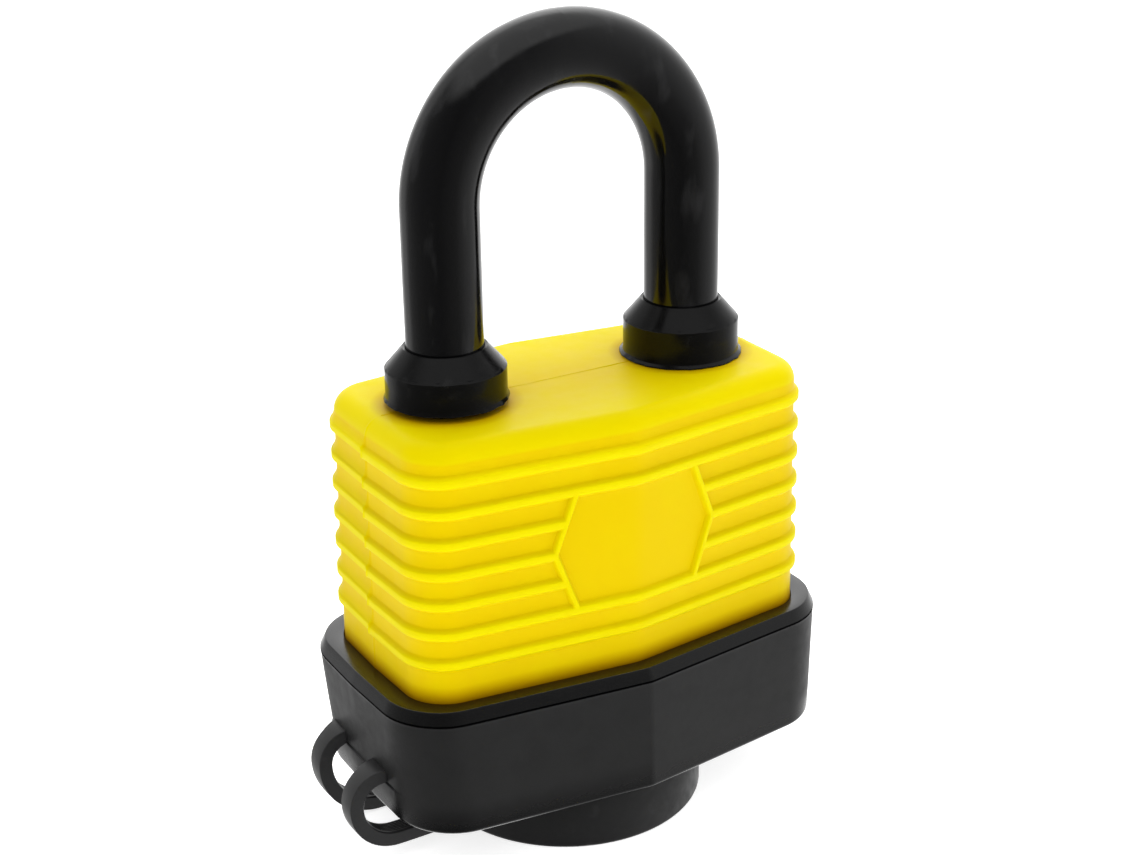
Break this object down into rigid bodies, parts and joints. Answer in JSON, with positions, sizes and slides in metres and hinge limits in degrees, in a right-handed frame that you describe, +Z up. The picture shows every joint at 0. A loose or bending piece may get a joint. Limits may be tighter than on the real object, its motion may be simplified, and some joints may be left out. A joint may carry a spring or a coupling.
{
  "type": "covered laminated padlock",
  "caption": "Laminated steel padlock with a sleeved U shackle, a ribbed plastic jacket, and a black base cup whose round strapped cap covers the keyway.",
  "frame": {"origin": "on the keyway cap's flat underside, on the key cylinder's axis", "axes": "+Z up along the shackle legs; +X from the heel leg, at the strap end, to the toe leg; +Y to the back"},
  "size_m": [0.0565, 0.0326, 0.0865],
  "materials": {
    "jacket": "semi-matt moulded thermoplastic",
    "black_cover": "satin black moulded plastic",
    "black_cap": "satin black elastomer",
    "shackle_sleeve": "glossy black plastic sleeve",
    "collar": "semi-gloss black plastic with fine turned rings",
    "shackle_steel": "plated hardened steel",
    "plate_steel": "zinc-plated sheet steel",
    "brass": "turned brass",
    "spring_steel": "bright spring wire"
  },
  "bodies": {
    "body": {"jacket": "jacket", "base_cup": "black_cover", "cap_strap_front": "black_cap", "cap_strap_rear": "black_cap", "body_rivets": "plate_steel", "cylinder_shell": "brass", "chamber_cover": "brass", "driver_pins": "brass", "pin_springs": "spring_steel", "heel_bolt_springs": "spring_steel", "toe_bolt_springs": "spring_steel", "plate_01": "plate_steel", "plate_02": "plate_steel", "plate_03": "plate_steel", "plate_04": "plate_steel", "plate_05": "plate_steel", "plate_06": "plate_steel", "plate_07": "plate_steel", "plate_08": "plate_steel", "plate_09": "plate_steel", "plate_10": "plate_steel", "plate_11": "plate_steel", "plate_12": "plate_steel", "plate_13": "plate_steel", "plate_14": "plate_steel", "plate_15": "plate_steel"},
    "shackle": {"shackle": "shackle_steel", "shackle_sleeve": "shackle_sleeve", "heel_collar": "collar", "toe_collar": "collar"},
    "plug": {"plug": "brass", "plug_clip": "plate_steel", "locking_cam": "plate_steel", "key_pins": "brass"},
    "heel_bolt": {"heel_bolt": "plate_steel"},
    "toe_bolt": {"toe_bolt": "plate_steel"},
    "cap": {"keyway_cap": "black_cap"}
  },
  "joints": [
    {"name": "shackle_lift", "type": "slide", "parent": "body", "child": "shackle", "axis": [0, 0, 1], "range_m": [0, 0.012]},
    {"name": "key_turn", "type": "hinge", "parent": "body", "child": "plug", "pos_m": [0, 0, 0.02], "axis": [0, 0, 1], "range_deg": [0, 90]},
    {"name": "heel_bolt_slide", "type": "slide", "parent": "body", "child": "heel_bolt", "axis": [-1, 0, 0], "range_m": [0, 0.0012], "deforming": ["heel_bolt_springs"]},
    {"name": "toe_bolt_slide", "type": "slide", "parent": "body", "child": "toe_bolt", "axis": [1, 0, 0], "range_m": [0, 0.0012], "deforming": ["toe_bolt_springs"]},
    {"name": "cap_open", "type": "hinge", "parent": "body", "child": "cap", "pos_m": [-0.027, 0.001, 0.0063], "axis": [0, 1, 0], "range_deg": [0, 110], "deforming": ["cap_strap_front", "cap_strap_rear"]}
  ],
  "couplings": [
    {"joint": "heel_bolt_slide", "follows": "key_turn", "m_per_rad": 0.00076},
    {"joint": "toe_bolt_slide", "follows": "key_turn", "m_per_rad": 0.00076}
  ]
}
